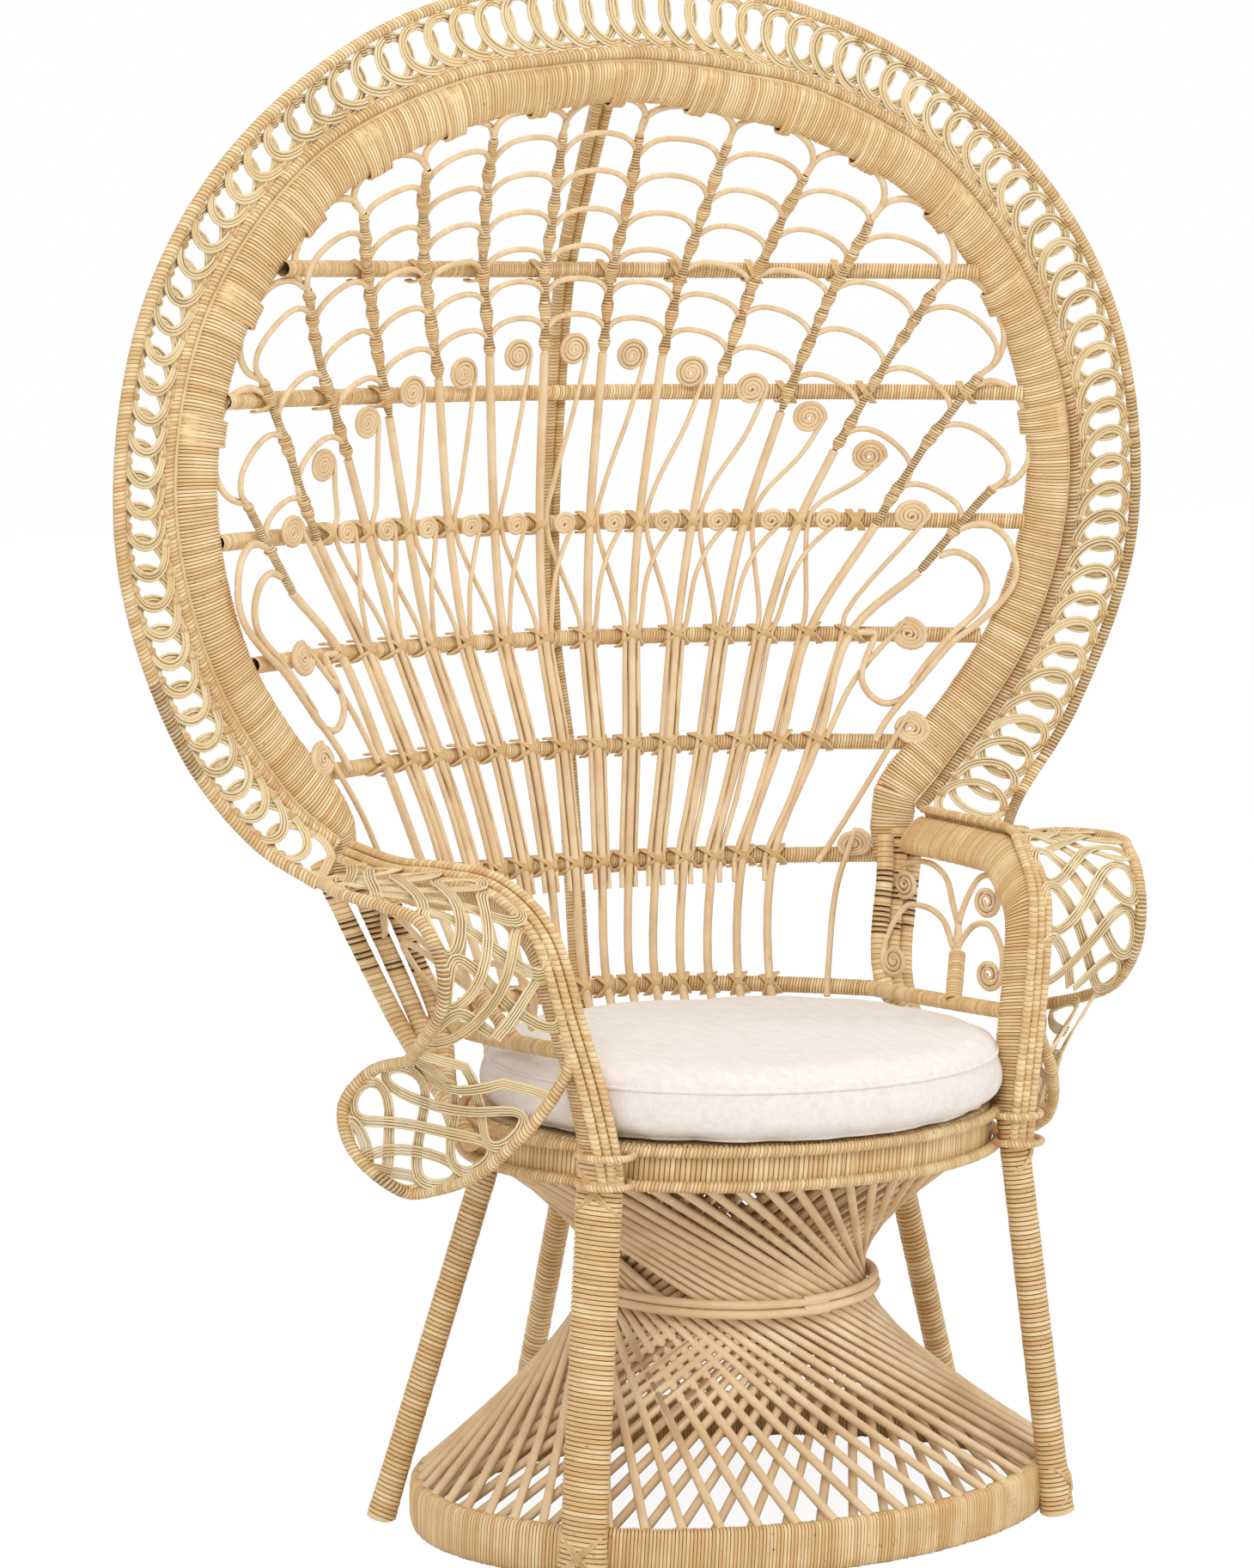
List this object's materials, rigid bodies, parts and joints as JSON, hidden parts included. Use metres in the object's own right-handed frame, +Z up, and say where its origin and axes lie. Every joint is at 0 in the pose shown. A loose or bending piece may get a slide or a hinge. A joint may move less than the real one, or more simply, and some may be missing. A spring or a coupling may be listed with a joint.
{
  "type": "peacock chair",
  "caption": "Wrapped rattan armchair with a tall round scalloped back, woven side wings, twisted open skirt and loose seat cushion.",
  "frame": {"origin": "middle of the footprint's bounding box, on the floor", "axes": "+Z up, the sitter faces -Y, +X is on the right of someone looking at the chair's front"},
  "size_m": [1.1696, 0.7196, 1.5126],
  "materials": {
    "wrapped_cane": "satin",
    "peeled_rattan": "satin",
    "lace_cane": "satin",
    "canvas": "matte"
  },
  "bodies": {
    "chair_frame": {"arch_rim": "wrapped_cane", "arch_bead": "wrapped_cane", "arch_band": "wrapped_cane", "lace_ring": "lace_cane", "cross_rail_1": "wrapped_cane", "cross_rail_2": "wrapped_cane", "cross_rail_3": "wrapped_cane", "cross_rail_4": "wrapped_cane", "cross_rail_5": "wrapped_cane", "cross_rail_6": "wrapped_cane", "cross_rail_7": "wrapped_cane", "back_spine": "wrapped_cane", "scallop_screen": "peeled_rattan", "back_stake_1": "peeled_rattan", "back_stake_2": "peeled_rattan", "back_stake_3": "peeled_rattan", "back_stake_4": "peeled_rattan", "back_stake_5": "peeled_rattan", "back_stake_6": "peeled_rattan", "back_stake_7": "peeled_rattan", "back_stake_8": "peeled_rattan", "back_stake_9": "peeled_rattan", "back_stake_10": "peeled_rattan", "back_stake_11": "peeled_rattan", "back_stake_12": "peeled_rattan", "back_stake_13": "peeled_rattan", "back_stake_14": "peeled_rattan", "base_ring": "wrapped_cane", "seat_ring": "wrapped_cane", "seat_top_bead": "wrapped_cane", "seat_bottom_bead": "wrapped_cane", "seat_deck": "wrapped_cane", "skirt_stakes": "peeled_rattan", "waist_hoop_upper": "peeled_rattan", "waist_hoop_lower": "peeled_rattan", "rear_leg": "wrapped_cane", "left_front_leg": "wrapped_cane", "left_side_leg": "wrapped_cane", "left_arm_poles": "wrapped_cane", "left_arm_band": "wrapped_cane", "left_side_rail": "wrapped_cane", "left_arm_scrolls": "peeled_rattan", "left_wing_rim": "wrapped_cane", "left_upper_wing_lace": "lace_cane", "left_lower_wing_lace": "lace_cane", "left_struts": "wrapped_cane", "right_front_leg": "wrapped_cane", "right_side_leg": "wrapped_cane", "right_arm_poles": "wrapped_cane", "right_arm_band": "wrapped_cane", "right_side_rail": "wrapped_cane", "right_arm_scrolls": "peeled_rattan", "right_wing_rim": "wrapped_cane", "right_upper_wing_lace": "lace_cane", "right_lower_wing_lace": "lace_cane", "right_struts": "wrapped_cane"},
    "cushion": {"seat_cushion": "canvas"}
  },
  "joints": [
    {"name": "cushion_lift", "type": "slide", "parent": "chair_frame", "child": "cushion", "axis": [0, 0, 1], "range_m": [0, 0.25]}
  ]
}
